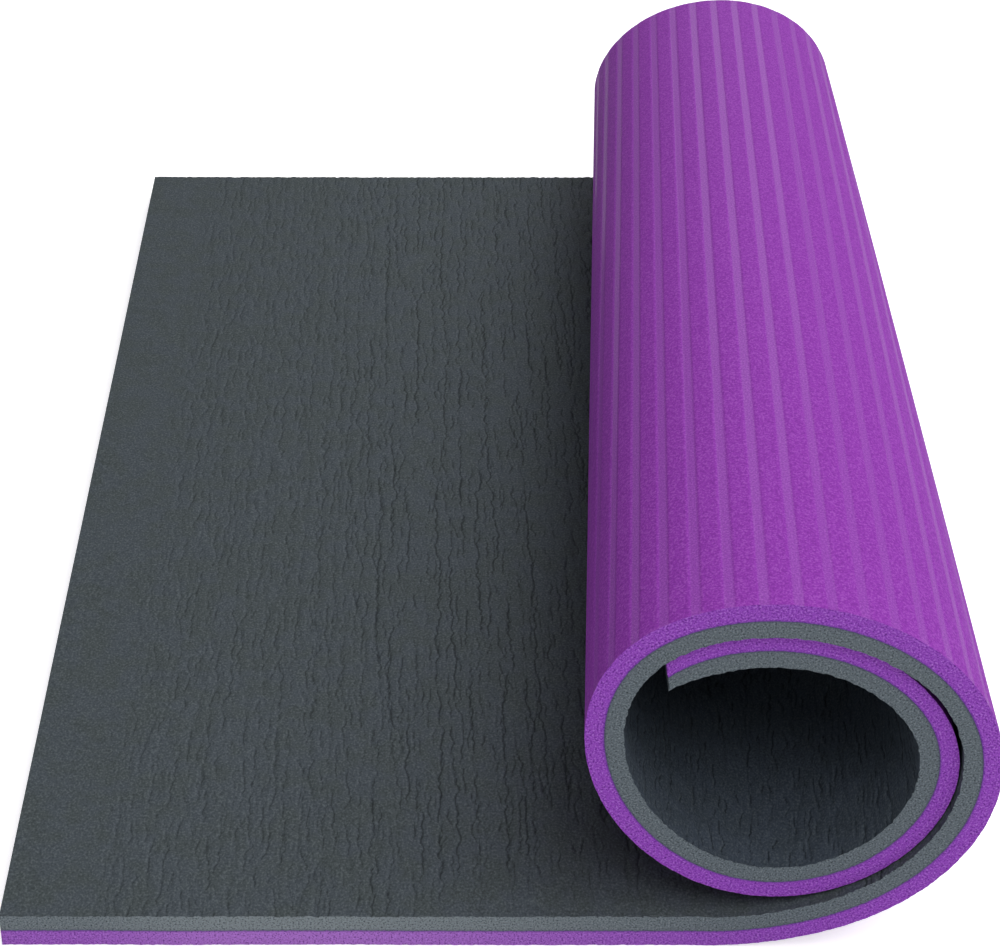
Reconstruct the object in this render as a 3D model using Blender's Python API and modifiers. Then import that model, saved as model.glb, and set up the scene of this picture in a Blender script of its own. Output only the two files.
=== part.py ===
"""Exercise mat of two bonded foam layers, its left part laid flat and the rest rolled up to the right.

The mat is a rectangular sheet. It lies flat from its free left edge, lifts off the floor in an easy bend
and goes on into a coil of a little over one and a half turns. The roll's axis is a few degrees askew to
the mat's width, and the roll is slightly tighter at its far end.
Metres, +Z up, +Y along the mat's width, the roll towards +X, origin under the middle of the model.
"""

from math import radians

import bmesh
import bpy
import numpy as np
from mathutils import Vector

# The sheet
MAT_WIDTH = 0.600
MAT_LENGTH = 0.846
PURPLE_THICKNESS = 0.0064
GREY_THICKNESS = 0.0064
BOND_GAP = 0.0003  # the thin line between the two foams

# The roll
FLAT_RUN = 0.239  # from the free edge to where the sheet leaves the floor
WRAP_GAP = 0.0005  # between one turn and the next
COIL_RADIUS = 0.0676  # mean bend of the bond line where the first turn begins, at the near end
LIFT_RADIUS = 0.0676  # added to the bend where the sheet leaves the floor
LIFT_TURN = radians(46)  # the added radius is gone after this turn
ASKEW = radians(3.5)  # the roll's axis against the mat's width
TAPER_SHARE = 0.134  # how much smaller the far end's bend is
CREEP_SHARE = 0.14  # how much of the askew roll's set-back the turns keep

# How far the roll is from round: cosine and sine shares of the radius at 2, 3 and 4 waves a turn
NEAR_SHAPE_SHARES = ((0.076, -0.096), (-0.150, 0.056), (0.0, 0.0))
FAR_SHAPE_SHARES = ((0.290, 0.077), (0.030, -0.030), (0.063, 0.034))
FIRST_WAVE = 2

# Facets
FLAT_SPANS = 3
BEND_SPANS = 97
ACROSS_SPANS = 5
TURN_STEP = radians(1.0)
MOST_TURN = radians(1080)
SHARP_ANGLE = radians(40)

THICKNESS = PURPLE_THICKNESS + BOND_GAP + GREY_THICKNESS
PITCH = THICKNESS + WRAP_GAP  # a turn inside another is smaller by this
BOND_HEIGHT = PURPLE_THICKNESS + BOND_GAP / 2


def bend_table(across):
    """Sheet used, run along the floor and rise, at every step of turn, at a share of the roll's length."""
    turn = np.arange(0, MOST_TURN, TURN_STEP) + TURN_STEP / 2
    shape = 1 + 0 * turn
    for n, (near, far) in enumerate(zip(NEAR_SHAPE_SHARES, FAR_SHAPE_SHARES), FIRST_WAVE):
        cosine, sine = ((1 - across) * a + across * b for a, b in zip(near, far))
        shape += cosine * np.cos(n * turn) + sine * np.sin(n * turn)
    lift = LIFT_RADIUS * np.clip(1 - turn / LIFT_TURN, 0, None)
    tighter = 1 - TAPER_SHARE * across
    radius = tighter * (COIL_RADIUS * shape + lift) - PITCH * turn / radians(360)
    arc = radius * TURN_STEP
    return [np.concatenate(([0], np.cumsum(a))) for a in (arc, arc * np.cos(turn), arc * np.sin(turn))]


def sheet_point(along, across, outward):
    """Point of the bent sheet, at a length from the free edge and a width from the near edge.

    outward is the distance from the bond line, to the purple side.
    """
    run = along * np.cos(ASKEW) - across * np.sin(ASKEW)
    axial = along * np.sin(ASKEW) + across * np.cos(ASKEW)
    bent = max(run - FLAT_RUN, 0)
    axial -= (1 - CREEP_SHARE) * bent * np.tan(ASKEW)
    used, floor_run, rise = bend_table(axial / MAT_WIDTH)
    turn = np.interp(bent, used, TURN_STEP * np.arange(len(used)))
    forward = run - bent + np.interp(bent, used, floor_run) + outward * np.sin(turn)
    height = BOND_HEIGHT + np.interp(bent, used, rise) - outward * np.cos(turn)
    return Vector((
        forward * np.cos(ASKEW) + axial * np.sin(ASKEW),
        axial * np.cos(ASKEW) - forward * np.sin(ASKEW),
        height,
    ))


def stations():
    """Lengths along the sheet at which the mesh has its cross lines."""
    flat = np.linspace(0, FLAT_RUN, FLAT_SPANS + 1)
    return np.concatenate((flat[:-1], np.linspace(FLAT_RUN, MAT_LENGTH, BEND_SPANS + 1)))


def foam_layer(name, outward, thickness, side, colour, roughness):
    """One foam sheet: a grid bent with the roll, thickened to one side of the bond."""
    lengths = stations()
    bm = bmesh.new()
    bmesh.ops.create_grid(bm, x_segments=len(lengths) - 1, y_segments=ACROSS_SPANS, size=1)
    for v in bm.verts:
        column = round((v.co.x + 1) / 2 * (len(lengths) - 1))
        row = round((v.co.y + 1) / 2 * ACROSS_SPANS)
        v.co = sheet_point(lengths[column], MAT_WIDTH * row / ACROSS_SPANS, outward)
    mesh = bpy.data.meshes.new(name)
    bm.to_mesh(mesh)
    bm.free()
    mesh.shade_smooth()

    material = bpy.data.materials.new(name + "_foam")
    material.use_nodes = True
    shader = material.node_tree.nodes["Principled BSDF"]
    shader.inputs["Base Color"].default_value = (*colour, 1)
    shader.inputs["Roughness"].default_value = roughness
    shader.inputs["Metallic"].default_value = 0
    mesh.materials.append(material)

    layer = bpy.data.objects.new(name, mesh)
    collection.objects.link(layer)
    layer.parent = origin
    halves = layer.modifiers.new("same diagonals in both layers", "TRIANGULATE")
    halves.quad_method = "FIXED"
    body = layer.modifiers.new("foam thickness", "SOLIDIFY")
    body.thickness = thickness
    body.offset = side
    return layer


for old in list(bpy.data.objects):
    bpy.data.objects.remove(old)

collection = bpy.data.collections.new("exercise_mat")
bpy.context.scene.collection.children.link(collection)
origin = bpy.data.objects.new("mat_origin", None)
collection.objects.link(origin)

layers = [
    foam_layer("purple", BOND_GAP / 2, PURPLE_THICKNESS, -1, (0.27, 0.05, 0.38), 0.7),
    foam_layer("grey", -BOND_GAP / 2, GREY_THICKNESS, 1, (0.07, 0.085, 0.095), 0.85),
]

# The origin goes under the middle of the model, on the floor
bpy.context.view_layer.update()
graph = bpy.context.evaluated_depsgraph_get()
points = np.array([v.co for layer in layers for v in layer.evaluated_get(graph).data.vertices])
low, high = points.min(axis=0), points.max(axis=0)
origin.location = (-(low[0] + high[0]) / 2, -(low[1] + high[1]) / 2, 0)
bpy.context.view_layer.update()
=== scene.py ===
"""Looks of the half-rolled exercise mat: two foam layers with wrinkles, moulded grooves and cut faces."""

from math import pi, radians

import bpy
import numpy as np
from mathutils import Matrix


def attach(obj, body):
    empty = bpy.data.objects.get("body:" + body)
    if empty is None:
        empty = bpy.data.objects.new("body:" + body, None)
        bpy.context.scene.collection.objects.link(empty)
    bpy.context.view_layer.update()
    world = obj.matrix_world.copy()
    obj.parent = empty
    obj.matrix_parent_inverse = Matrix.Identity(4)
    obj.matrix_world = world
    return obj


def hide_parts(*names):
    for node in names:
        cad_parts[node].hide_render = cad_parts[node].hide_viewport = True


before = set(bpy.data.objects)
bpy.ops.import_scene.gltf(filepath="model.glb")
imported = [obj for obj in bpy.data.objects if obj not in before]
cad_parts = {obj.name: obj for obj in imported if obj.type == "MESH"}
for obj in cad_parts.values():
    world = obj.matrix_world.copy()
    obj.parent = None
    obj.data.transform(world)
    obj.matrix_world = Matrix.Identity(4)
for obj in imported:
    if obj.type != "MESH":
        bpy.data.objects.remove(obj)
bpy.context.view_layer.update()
bpy.ops.object.select_all(action="DESELECT")

# The sheet and its roll, as in the solids
MAT_WIDTH = 0.600
MAT_LENGTH = 0.846
PURPLE_THICKNESS = 0.0064
GREY_THICKNESS = 0.0064
BOND_GAP = 0.0003
FLAT_RUN = 0.239
WRAP_GAP = 0.0005
COIL_RADIUS = 0.0676
LIFT_RADIUS = 0.0676
LIFT_TURN = radians(46)
ASKEW = radians(3.5)
TAPER_SHARE = 0.134
CREEP_SHARE = 0.14
NEAR_SHAPE_SHARES = ((0.076, -0.096), (-0.150, 0.056), (0.0, 0.0))
FAR_SHAPE_SHARES = ((0.290, 0.077), (0.030, -0.030), (0.063, 0.034))
MAT_THICKNESS = PURPLE_THICKNESS + BOND_GAP + GREY_THICKNESS
PITCH = MAT_THICKNESS + WRAP_GAP
BOND_HEIGHT = PURPLE_THICKNESS + BOND_GAP / 2

# The bend's radius is a polynomial in the share of the roll's length, with one set of terms a degree
TURN_STEP = radians(0.5)
MOST_TURN = radians(900)
TURN = np.arange(0, MOST_TURN, TURN_STEP) + TURN_STEP / 2
TURN_ROUNDS = 12


def shape_of(shares):
    """How far the bend's radius departs from a circle's at each turn, as a share of it."""
    return sum(c * np.cos(n * TURN) + s * np.sin(n * TURN) for n, (c, s) in enumerate(shares, 2))


near_lift = LIFT_RADIUS * np.clip(1 - TURN / LIFT_TURN, 0, None)
near_bend = COIL_RADIUS * (1 + shape_of(NEAR_SHAPE_SHARES)) + near_lift
far_change = COIL_RADIUS * (shape_of(FAR_SHAPE_SHARES) - shape_of(NEAR_SHAPE_SHARES))
BEND_TERMS = (
    near_bend - PITCH * TURN / (2 * pi),
    far_change - TAPER_SHARE * near_bend,
    -TAPER_SHARE * far_change,
)


def summed(wave):
    """Each bend term times the wave, summed from the start of the bend to each turn."""
    return [np.concatenate(([0], np.cumsum(term * wave * TURN_STEP))) for term in BEND_TERMS]


USED, FORWARD, RISE = summed(1), summed(np.cos(TURN)), summed(np.sin(TURN))


def at_turn(terms, turn, share):
    """A summed bend value at each turn, for each share of the roll's length."""
    steps = np.clip(turn / TURN_STEP, 0, len(TURN) - 1e-6)
    low = steps.astype(int)
    part = steps - low
    total = 0
    for power, term in enumerate(terms):
        total = total + (term[low] * (1 - part) + term[low + 1] * part) * share**power
    return total


def bent_sheet(along, across, outward):
    """Points of the rolled sheet and their turns, from places along it, across it and outside the bond."""
    run = along * np.cos(ASKEW) - across * np.sin(ASKEW)
    axial = along * np.sin(ASKEW) + across * np.cos(ASKEW)
    bent = np.maximum(run - FLAT_RUN, 0)
    axial = axial - (1 - CREEP_SHARE) * bent * np.tan(ASKEW)
    share = axial / MAT_WIDTH
    turn = bent / COIL_RADIUS
    for _ in range(TURN_ROUNDS):
        radius = (at_turn(USED, turn + TURN_STEP, share) - at_turn(USED, turn, share)) / TURN_STEP
        turn = np.clip(turn + (bent - at_turn(USED, turn, share)) / radius, 0, None)
    forward = run - bent + at_turn(FORWARD, turn, share) + outward * np.sin(turn)
    height = BOND_HEIGHT + at_turn(RISE, turn, share) - outward * np.cos(turn)
    x = forward * np.cos(ASKEW) + axial * np.sin(ASKEW)
    y = axial * np.cos(ASKEW) - forward * np.sin(ASKEW)
    return np.stack((x, y, height), axis=-1), turn


# The middle of the whole mat's box, under which its origin lies
CENTRE = np.array([0.184983, 0.300376, 0])

# Soft bumps of the foam: height, length, width and seed
GREY_DIMPLES = ((0.00022, 0.003, 0.007, 15), (0.00011, 0.0015, 0.003, 16))
GREY_NICKS = (0.00025, 0.0011, 1, 17)
CUT_BUMPS = ((0.00012, 0.0011, 0.0016, 31), (0.0002, 0.03, 0.03, 32))
TORN_END = (0.0004, 0.0012, 0.004, 33)
GREY_WAVES = (0.00012, 0.02, 0.05, 41)
PURPLE_WAVES = (0.00005, 0.03, 0.08, 42)


def smooth_noise(x, y, seed):
    """Soft random values from -1 to 1, one hill or hollow to a unit."""
    grid = np.random.RandomState(seed).uniform(-1, 1, (256, 256))
    column, row = np.floor(x).astype(int), np.floor(y).astype(int)
    u, v = x - column, y - row
    u, v = u * u * (3 - 2 * u), v * v * (3 - 2 * v)
    c0, c1, r0, r1 = column % 256, (column + 1) % 256, row % 256, (row + 1) % 256
    low = grid[c0, r0] * (1 - u) + grid[c1, r0] * u
    high = grid[c0, r1] * (1 - u) + grid[c1, r1] * u
    return low * (1 - v) + high * v


def bumps(x, y, *kinds):
    """Heights of one or more kinds of soft bumps, added up."""
    return sum(height * smooth_noise(x / length, y / width, seed) for height, length, width, seed in kinds)


def ramp(value, low, high):
    """A smooth step from 0 at the low value to 1 at the high one."""
    t = np.clip((value - low) / (high - low), 0, 1)
    return t * t * (3 - 2 * t)


# Families of creases across the grey skin: spacing, length of a stretch, share left out, depth, painted
# shade, and where along the sheet they begin and are full
CREASES = (
    (0.0060, 0.040, -0.3, 1.0, 1.0, 0.05, 0.14),
    (0.0043, 0.009, -0.25, 0.9, 0.85, 0.015, 0.045),
    (0.0030, 0.006, 0.1, 0.4, 0.6, 0.015, 0.04),
)
CREASE_DEPTH = 0.0006
CREASE_STEEP = 0.0004
CREASE_EASY = 0.0009
# The painted shade line in a crease, and the painted highlight beside it
LINE_WIDTH = 0.00042
BROW_PLACE = 0.0009
BROW_WIDTH = 0.0004
# How a crease strays: in its place, in a slow sway, and in waves of this reach, length and seed
PLACE_SHARE = 0.3
SWAY_SHARE = 0.25
SWAY_STRETCHES = 1.2
CREASE_WAVES = ((0.0008, 0.0085, 170), (0.0006, 0.0040, 80), (0.0005, 0.0022, 44))
# Where a crease breaks off
BREAK_LENGTH = 0.006
BREAK_SHARE = 0.45
LINKED_SHARE = 0.25
LINKED_RUN = (0.08, 0.16)
# All creases gain a little over this run
GROWTH_RUN = (0.06, 0.16)
GROWTH_SHARE = 0.15
# Inside the roll the fine creases gain and the wide ones lose
INNER_RUN = (0.45, 0.6)
FINE_SPACING = 0.004
FINE_GAIN = 0.8
WIDE_LOSS = 0.35
# Creases are weak at the near edge, beside the roll
NEAR_BAND = (0.004, 0.035)
NEAR_RUN = (0.12, 0.17)
NEAR_END = 0.3
NEAR_LOSS = 0.55
# The last of the skin at a cut edge is nearly smooth
EDGE_BAND = 0.0005
EDGE_LOSS = 0.7
DIMPLED_RUN = (0, 0.05)


def wrinkles(along, across):
    """Painted shade in the grey skin's creases less the painted highlight beside them, and how deep the skin
    lies.
    """
    dark, pale, sunk = np.zeros_like(along), np.zeros_like(along), np.zeros_like(along)
    for seed, (spacing, stretch, left_out, deep, shade, begins, full) in enumerate(CREASES, 21):
        inner_change = FINE_GAIN if spacing < FINE_SPACING else -WIDE_LOSS
        near_change = NEAR_LOSS * (1 - ramp(across, *NEAR_BAND)) * ramp(along, *NEAR_RUN) * (along < NEAR_END)
        grown = ramp(along, begins, full) * (1 - GROWTH_SHARE + GROWTH_SHARE * ramp(along, *GROWTH_RUN))
        grown *= 1 + inner_change * ramp(along, *INNER_RUN)
        grown *= 1 - near_change
        for step in (-2, -1, 0, 1, 2):
            line = np.floor(along / spacing) + step
            place = (line + 0.5 + PLACE_SHARE * smooth_noise(line, 0 * line, seed)) * spacing
            sway = smooth_noise(across / (SWAY_STRETCHES * stretch), line, seed + 10)
            place += SWAY_SHARE * spacing * sway
            for reach, length, wave_seed in CREASE_WAVES:
                place += reach * smooth_noise(across / length, line, seed + wave_seed)
            shown = smooth_noise(across / stretch, line + 7, seed + 50)
            shown = shown + BREAK_SHARE * smooth_noise(across / BREAK_LENGTH, line, seed + 60)
            shown = shown + LINKED_SHARE - LINKED_SHARE * ramp(along, *LINKED_RUN)
            force = grown * ramp(shown, left_out - 0.3, left_out + 0.7)
            off = along - place
            dark = np.maximum(dark, shade * force * np.exp(-((off / LINE_WIDTH) ** 2)))
            pale = np.maximum(pale, force * np.exp(-(((off + BROW_PLACE) / BROW_WIDTH) ** 2)))
            sunk += CREASE_DEPTH * deep * force * np.exp(-np.maximum(off / CREASE_EASY, -off / CREASE_STEEP))
    edge = np.minimum(across, MAT_WIDTH - across) < EDGE_BAND
    sunk = sunk - bumps(along, across, *GREY_DIMPLES) * ramp(along, *DIMPLED_RUN)
    sunk = sunk * (1 - EDGE_LOSS * edge)
    return dark - pale * (1 - dark), sunk + edge * bumps(along, across, GREY_NICKS)


# A groove lies 0.5168 m along the sheet, 51 pitches past the first
GROOVE_PITCH = 0.01005
GROOVE_WIDTH = 0.0044
GROOVE_DEPTH = 0.00032
GROOVE_WALL = 0.0010
GROOVE_START = 0.5168 - 51 * GROOVE_PITCH
# Grooves are pressed shallow at the cut edges, to this share of their depth
PRESSED_BAND = 0.012
PRESSED_LEAST = 0.2


def groove(along):
    """Depth of the purple skin's moulded grooves, from 0 on the lands to 1."""
    place = (along - GROOVE_START) / GROOVE_PITCH
    offset = np.abs((place + 0.5) % 1 - 0.5) * GROOVE_PITCH
    return ramp(GROOVE_WIDTH / 2 - offset, 0, GROOVE_WALL)


# The skins stand back on both sides of the gap between the wraps
SLACK_DEPTH = 0.0007
SLACK_TURN = radians(46)
PURPLE_SLACK_MIDDLE = radians(485)
GREY_SLACK_MIDDLE = radians(125)


def slack(along, across, middle):
    """How far the skin stands back around this turn, where the wraps part."""
    _, turn = bent_sheet(along, across, 0 * along)
    return SLACK_DEPTH * ramp(1 - np.abs(turn - middle) / SLACK_TURN, 0, 1)


def grey_relief(along, across):
    """How deep the grey skin lies, and its creases' marks for painted shade and highlight."""
    marks, sunk = wrinkles(along, across)
    sunk += bumps(along, across, GREY_WAVES)
    return sunk + slack(along, across, GREY_SLACK_MIDDLE), marks


def purple_relief(along, across):
    """How deep the purple skin lies, and its grooves' marks for their painted sheen and coat."""
    marks = groove(along)
    inwards = np.minimum(across, MAT_WIDTH - across)
    pressed = PRESSED_LEAST + (1 - PRESSED_LEAST) * ramp(inwards, 0, PRESSED_BAND)
    lowered = GROOVE_DEPTH * marks * pressed + bumps(along, across, PURPLE_WAVES)
    return lowered + slack(along, across, PURPLE_SLACK_MIDDLE), marks


# The two layers' meshes: columns as (end of run, spacing) pairs, finest where the creases are seen
GREY_COLUMNS = ((0.33, 0.00046), (0.53, 0.0014), (0.74, 0.0006), (MAT_LENGTH, 0.0011))
GREY_ROWS = 504
PURPLE_COLUMNS = ((MAT_LENGTH, 0.0004),)
PURPLE_ROWS = 36
RIM_LEVELS = 4
BOND_ROWS = 12
SHARP_ANGLE = radians(50)
# Rows stand closer together at the near edge, by this share
ROW_CROWDING = 0.2
# The bonded faces all but meet
SEAM = 0.00004
# The inner end stands a little straighter than the roll, and its cut slants
TIP_RUN = 0.018
TIP_REACH = 0.0006
TIP_SLANT = 0.62
TIP_LIFT = 0.0040


def column_places(runs):
    """Lengths along the sheet for the mesh's columns."""
    places, start = [0.0], 0.0
    for end, spacing in runs:
        count = max(1, round((end - start) / spacing))
        places += list(start + (end - start) * np.arange(1, count + 1) / count)
        start = end
    return np.array(places)


def quads(grid):
    """Four-sided faces between the neighbours of a grid of points."""
    return np.stack((grid[:-1, :-1], grid[1:, :-1], grid[1:, 1:], grid[:-1, 1:]), axis=-1).reshape(-1, 4)


def foam_slab(name, runs, skin_rows, skin_level, bond_level, relief):
    """A closed slab of foam: its skin in full detail, its cut edges and its plain bonded side."""
    lengths = column_places(runs)
    shares = np.linspace(0, 1, skin_rows + 1)
    skin_widths = MAT_WIDTH * shares * (1 - ROW_CROWDING + ROW_CROWDING * shares)
    step = skin_rows // BOND_ROWS
    n, m, k = len(lengths), skin_rows + 1, BOND_ROWS + 1
    along, across = np.meshgrid(lengths, skin_widths, indexing="ij")
    lowered, marks = relief(along, across)
    towards_bond = np.sign(bond_level - skin_level)
    parts = [(along, across, skin_level + towards_bond * lowered, marks)]
    b_along, b_across = np.meshgrid(lengths, skin_widths[::step], indexing="ij")
    parts.append((b_along, b_across, np.full(b_along.shape, bond_level), np.zeros(b_along.shape)))
    for side in (0, m - 1):
        for level in range(1, RIM_LEVELS):
            share = level / RIM_LEVELS
            out = parts[0][2][:, side] * (1 - share) + bond_level * share
            parts.append((lengths, np.full(n, skin_widths[side]), out, np.zeros(n)))
    along, across, outward, marks = (np.concatenate([part[i].ravel() for part in parts]) for i in range(4))

    skin = np.arange(n * m).reshape(n, m)
    bond = n * m + np.arange(n * k).reshape(n, k)
    first = n * m + n * k
    near_rim, far_rim = (
        [first + (i * (RIM_LEVELS - 1) + j) * n + np.arange(n) for j in range(RIM_LEVELS - 1)] for i in (0, 1)
    )
    near = np.stack([skin[:, 0], *near_rim, bond[:, 0]], axis=1)
    far = np.stack([skin[:, m - 1], *far_rim, bond[:, k - 1]], axis=1)

    # The cut edges are a little rough
    end = along > MAT_LENGTH - 1e-6
    along[end] += bumps(outward[end], across[end], TORN_END)
    tip = np.clip(along / TIP_RUN - MAT_LENGTH / TIP_RUN + 1, 0, 1) ** 2
    inner = (BOND_HEIGHT - outward) / MAT_THICKNESS
    reached = along + tip * (TIP_REACH - TIP_SLANT * outward)
    points, _ = bent_sheet(reached, across, outward + tip * TIP_LIFT * inner**2)
    points -= CENTRE
    rough = np.concatenate((near.ravel(), far.ravel()))
    points[rough, 1] += bumps(along[rough], outward[rough], *CUT_BUMPS)

    faces = [quads(skin), quads(bond)[:, ::-1], quads(near)[:, ::-1], quads(far)]
    if towards_bond < 0:
        faces = [f[:, ::-1] for f in faces]
    # Each end of the sheet is closed by faces that join the skin's fine rows to the bonded side's few
    ends = []
    for at, turned in ((0, True), (n - 1, False)):
        for j in range(BOND_ROWS):
            loop = [skin[at, i] for i in range(j * step, (j + 1) * step + 1)]
            if j == BOND_ROWS - 1:
                loop += [r[at] for r in far_rim]
            loop += [bond[at, j + 1], bond[at, j]]
            if j == 0:
                loop += [r[at] for r in reversed(near_rim)]
            flip = turned == (towards_bond > 0)
            ends.append([int(v) for v in (loop if flip else loop[::-1])])
    cut_from = len(faces[0]) + len(faces[1])
    faces = [f.tolist() for f in np.concatenate(faces)] + ends
    mesh = bpy.data.meshes.new(name)
    mesh.from_pydata(points, [], faces)
    mesh.polygons.foreach_set("material_index", [int(i >= cut_from) for i in range(len(faces))])
    mesh.shade_smooth()
    mesh.set_sharp_from_angle(angle=SHARP_ANGLE)
    # Marks for the materials: painted shade and highlight of the grey creases, or the purple grooves' depth
    # for their painted sheen and coat
    painted_light_marks = mesh.attributes.new("relief", "FLOAT", "POINT")
    painted_light_marks.data.foreach_set("value", marks)
    laid_out = mesh.attributes.new("laid_out", "FLOAT_VECTOR", "POINT")
    laid_out.data.foreach_set("vector", np.stack((along, across, outward), axis=1).ravel())
    piece = bpy.data.objects.new(name, mesh)
    bpy.context.scene.collection.objects.link(piece)
    return piece


grey = foam_slab(
    "grey_foam_layer", GREY_COLUMNS, GREY_ROWS, -(BOND_GAP / 2 + GREY_THICKNESS), -SEAM, grey_relief
)
purple = foam_slab(
    "purple_foam_layer", PURPLE_COLUMNS, PURPLE_ROWS, BOND_GAP / 2 + PURPLE_THICKNESS, SEAM, purple_relief
)


# Materials
class Value:
    """A shader socket that Python arithmetic adds Math nodes to."""

    def __init__(self, surface, socket):
        self.surface, self.socket = surface, socket

    def _math(self, operation, *inputs):
        return self.surface.node("ShaderNodeMath", {"operation": operation}, *inputs)

    def __add__(self, other):
        return self._math("ADD", self, other)

    def __mul__(self, other):
        return self._math("MULTIPLY", self, other)

    def __abs__(self):
        return self._math("ABSOLUTE", self)

    __radd__, __rmul__ = __add__, __mul__


class Surface:
    """A material and its nodes."""

    def __init__(self, name):
        self.material = bpy.data.materials.new(name)
        self.material.use_nodes = True
        self.tree = self.material.node_tree
        self.shader = self.tree.nodes["Principled BSDF"]

    def node(self, kind, settings, *inputs, output=0, **named):
        made = self.tree.nodes.new(kind)
        for key, setting in settings.items():
            setattr(made, key, setting)
        for key, value in [*enumerate(inputs), *((k.replace("_", " "), v) for k, v in named.items())]:
            self.join(made.inputs[key], value)
        return Value(self, made.outputs[output])

    def join(self, socket, value):
        if isinstance(value, Value):
            self.tree.links.new(value.socket, socket)
        else:
            socket.default_value = value

    def mix(self, share, low, high):
        """From the low colour at share 0 to the high one at share 1."""
        colours = [(*c, 1) if isinstance(c, tuple) else c for c in (low, high)]
        made = self.tree.nodes.new("ShaderNodeMix")
        made.data_type = "RGBA"
        for key, value in ((0, share), (6, colours[0]), (7, colours[1])):
            self.join(made.inputs[key], value)
        return Value(self, made.outputs[2])

    def attribute(self, name, output):
        return self.node("ShaderNodeAttribute", {"attribute_name": name}, output=output)

    def laid_out(self, axis):
        """Length along the sheet as X, width across it as Y or distance outside the bond as Z."""
        return self.node("ShaderNodeSeparateXYZ", {}, self.attribute("laid_out", "Vector"), output=axis)

    def noise(self, scale, stretch=(1, 1, 1), detail=2.0, rough=0.5):
        at = self.node("ShaderNodeMapping", {}, Vector=self.attribute("laid_out", "Vector"), Scale=stretch)
        return self.node(
            "ShaderNodeTexNoise", {}, Vector=at, Scale=scale, Detail=detail, Roughness=rough, output="Fac"
        )

    def steps(self, value, low, high, to_low=0.0, to_high=1.0):
        """A smooth step of the value, from to_low at the low one to to_high at the high one."""
        smooth = {"interpolation_type": "SMOOTHSTEP"}
        return self.node("ShaderNodeMapRange", smooth, value, low, high, to_low, to_high)

    def speckled(self, base, grain, dark, light, share):
        """The base colour with the grain's hollows dark and its heights light."""
        base = self.mix(self.steps(grain, 0.5, 0.3) * share, base, srgb(dark))
        return self.mix(self.steps(grain, 0.5, 0.7) * share, base, srgb(light))

    def dress(self, base, rough, specular, height, strength, distance):
        """Set the shader's colour and gloss, with a bump from the height."""
        bump = self.node("ShaderNodeBump", {}, Strength=strength, Distance=distance, Height=height)
        self.join(self.shader.inputs["Base Color"], base)
        self.join(self.shader.inputs["Roughness"], rough)
        self.join(self.shader.inputs["Specular IOR Level"], specular)
        self.join(self.shader.inputs["Normal"], bump)


def srgb(code):
    """Linear colour of a two-digit-a-channel code, as a colour picker shows it."""
    parts = [int(code[i:i + 2], 16) / 255 for i in (0, 2, 4)]
    return tuple(c / 12.92 if c <= 0.04045 else ((c + 0.055) / 1.055) ** 2.4 for c in parts)


GRAIN_STRETCH = (1, 0.75, 1)


def grey_skin():
    """Dark grey foam skin, a little bluer inside the roll, with painted shade in the creases and a painted
    highlight beside them.
    """
    s = Surface("grey_wrinkled_skin")
    crease = s.attribute("relief", "Fac")
    rolled = s.steps(s.laid_out("X"), 0.3, 0.5)
    grain = s.noise(1250, GRAIN_STRETCH)
    base = s.mix(s.steps(s.noise(90), 0.35, 0.65), srgb("484f51"), srgb("4a5157"))
    base = s.mix(rolled * 0.3, base, srgb("44506a"))
    base = s.speckled(base, grain, "23292b", "6e777a", 0.4)
    # Painted highlight beside each crease
    base = s.mix(s.steps(crease, -0.1, -0.9) * 0.09, base, srgb("7c858a"))
    # Painted shade in each crease
    base = s.mix(s.steps(crease, 0.05, 0.9) * 0.6, base, srgb("101416"))
    s.dress(base, rough=0.8, specular=0.08, height=grain, strength=0.5, distance=0.0003)
    return s.material


def purple_skin():
    """Purple foam skin, with a painted sheen on the groove floors, which also have a faint coat."""
    s = Surface("purple_grooved_skin")
    groove_floor = s.steps(s.attribute("relief", "Fac"), 0.4, 1.0)
    grain = s.noise(1600, GRAIN_STRETCH, detail=1)
    base = s.speckled(srgb("9139ae"), grain, "6a2284", "b268ca", 0.42)
    # Painted sheen: the groove floors are paler
    base = s.mix(groove_floor * 0.12, base, srgb("9c66ba"))
    s.dress(base, rough=0.75, specular=0.09, height=grain, strength=0.4, distance=0.0003)
    s.join(s.shader.inputs["Coat Weight"], groove_floor * 0.10)
    s.join(s.shader.inputs["Coat Roughness"], 0.22)
    return s.material


def cut_foam(name, low, mid, high, seam, pale):
    """Open cells of a cut edge, with painted light along the flat run's near edge, and darker at the bond."""
    s = Surface(name)
    cells = s.noise(1500, detail=3, rough=0.6)
    run = s.laid_out("X")
    # Painted light: the flat run's near cut is lightened towards the pale colour
    flat = s.steps(run, 0.3, 0.1) * s.steps(run, 0.02, 0.08, 0.45, 1.0)
    base = s.mix(flat * 0.38, srgb(mid), srgb(pale))
    base = s.mix(s.steps(cells, 0.5, 0.3), base, srgb(low))
    base = s.mix(s.steps(cells, 0.5, 0.7) * 0.65, base, srgb(high))
    base = s.mix(s.steps(abs(s.laid_out("Z")), 0.0009, 0.0001) * 0.5, base, srgb(seam))
    s.dress(base, rough=0.9, specular=0.15, height=cells, strength=0.7, distance=0.0005)
    return s.material


# The pale colours are painted light on the flat run's near cut
for piece, node, skin, cut in (
    (grey, "grey", grey_skin(), cut_foam(
        "grey_cut_foam", low="30383d", mid="646d74", high="949fa5", seam="4a4a66", pale="a4aeb0")),
    (purple, "purple", purple_skin(), cut_foam(
        "purple_cut_foam", low="561c7c", mid="9648c0", high="c891e6", seam="4e3a84", pale="d4a4e8")),
):
    piece.data.materials.append(skin)
    piece.data.materials.append(cut)
    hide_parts(node)
    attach(piece, "root")

# The floor lies just under the mat. It looks white far from the mat too, and keeps its shadow near it
FLOOR_SIZE = 60
FLOOR_DROP = 0.0002
FLOOR_GLOW = 0.62
FAR_GLOW = 1.6
FAR_RUN = (0.7, 2.2)
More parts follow.
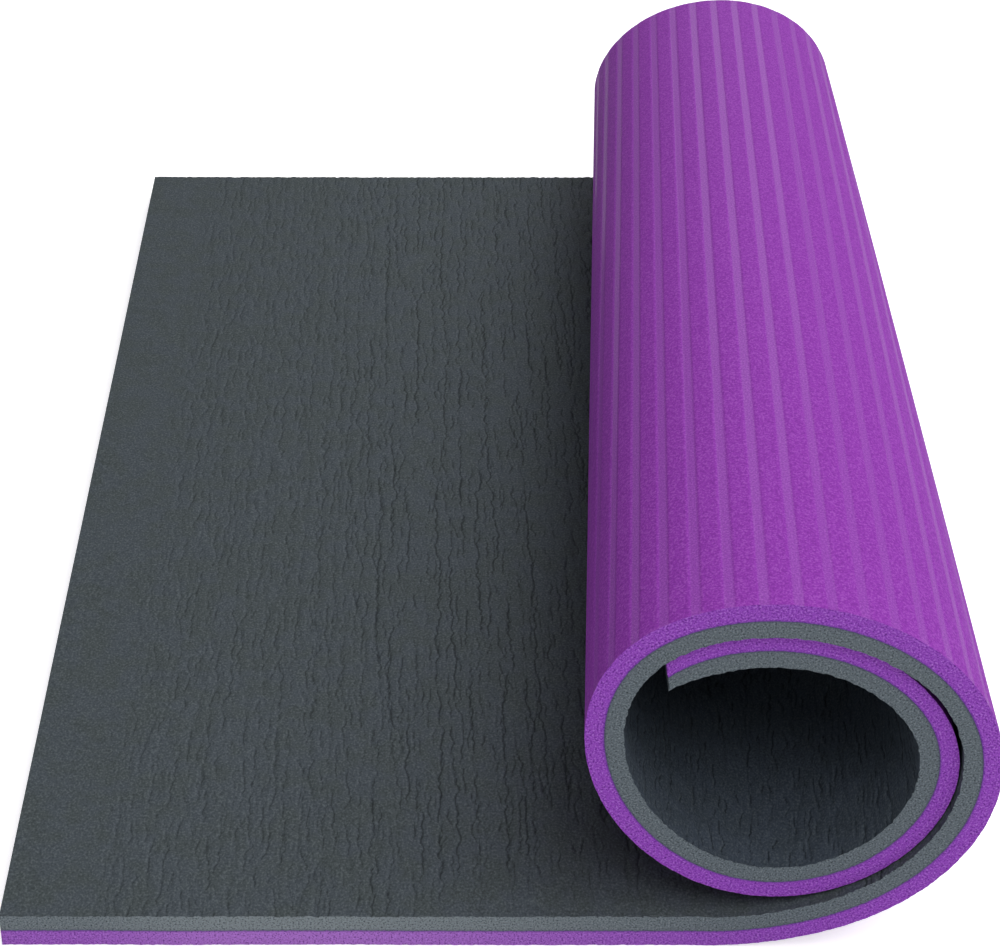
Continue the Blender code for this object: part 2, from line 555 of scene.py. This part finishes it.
# Rays for which the floor and the world are white
WHITE_RAYS = ("Is Camera Ray", "Is Glossy Ray", "Is Transmission Ray")
bpy.ops.mesh.primitive_plane_add(size=FLOOR_SIZE, location=(0, 0, -FLOOR_DROP))
floor = bpy.context.object
floor.name = "floor"
paper = Surface("white_floor")
seen = sum(paper.node("ShaderNodeLightPath", {}, output=ray) for ray in WHITE_RAYS)
away = paper.node("ShaderNodeTexCoord", {}, output="Object")
away = paper.node("ShaderNodeVectorMath", {"operation": "LENGTH"}, away, output="Value")
white = paper.mix(paper.steps(away, *FAR_RUN), (1, 1, 1), (FAR_GLOW, FAR_GLOW, FAR_GLOW))
for socket, value in (
    ("Base Color", (0.86, 0.86, 0.86, 1)),
    ("Roughness", 0.9),
    ("Emission Strength", FLOOR_GLOW),
    ("Emission Color", paper.mix(seen, (0, 0, 0), white)),
):
    paper.join(paper.shader.inputs[socket], value)
floor.data.materials.append(paper.material)

# The world lights the mat faintly and looks white
SKY_STRENGTH = 0.18
world = bpy.context.scene.world or bpy.data.worlds.new("studio")
bpy.context.scene.world = world
world.use_nodes = True
nodes, links = world.node_tree.nodes, world.node_tree.links
sky, bright = nodes["Background"], nodes.new("ShaderNodeBackground")
sky.inputs["Strength"].default_value = SKY_STRENGTH
for background in (sky, bright):
    background.inputs["Color"].default_value = (1, 1, 1, 1)
mixed = sky
for ray in WHITE_RAYS:
    shown, path = nodes.new("ShaderNodeMixShader"), nodes.new("ShaderNodeLightPath")
    links.new(path.outputs[ray], shown.inputs["Fac"])
    links.new(mixed.outputs[0], shown.inputs[1])
    links.new(bright.outputs[0], shown.inputs[2])
    mixed = shown
links.new(mixed.outputs[0], nodes["World Output"].inputs["Surface"])


def lamp(name, place, aim, size, power):
    """A round lamp at its place, turned towards its aim."""
    data = bpy.data.lights.new(name, "AREA")
    data.shape, data.size, data.energy = "DISK", size, power
    light = bpy.data.objects.new(name, data)
    bpy.context.scene.collection.objects.link(light)
    light.location = place
    x, y, z = np.array(aim) - np.array(place)
    light.rotation_euler = (np.arctan2(np.hypot(x, y), -z), 0, np.arctan2(y, x) - pi / 2)


lamp("key", (0.95, -0.12, 1.65), (0.05, 0, 0.05), 1.9, 21.6)
lamp("front", (0.2, -1.3, 1.55), (0.05, 0, 0.05), 1.0, 10.5)
lamp("fill", (-0.2, -1.7, 0.4), (0.0, -0.3, 0), 1.0, 2.7)
lamp("back", (0.3, 1.7, 0.75), (0.1, 0, 0.1), 1.0, 5)

# The camera, with its middle line to the left of the picture's
FOCAL_PIXELS = 2395.7
MIDDLE_PIXELS = 409.2
PICTURE_WIDTH = 1000
SENSOR_WIDTH = 36
CAMERA_PITCH = radians(32.076)
camera = bpy.data.objects.new("camera", bpy.data.cameras.new("camera"))
bpy.context.scene.collection.objects.link(camera)
camera.data.sensor_width = SENSOR_WIDTH
camera.data.lens = FOCAL_PIXELS * SENSOR_WIDTH / PICTURE_WIDTH
camera.data.shift_x = (PICTURE_WIDTH / 2 - MIDDLE_PIXELS) / PICTURE_WIDTH
camera.location = (-0.0432, -0.9205, 0.5820)
camera.rotation_euler = (pi / 2 - CAMERA_PITCH, 0, 0)
bpy.context.scene.camera = camera

bpy.context.scene.view_settings.view_transform = "Standard"
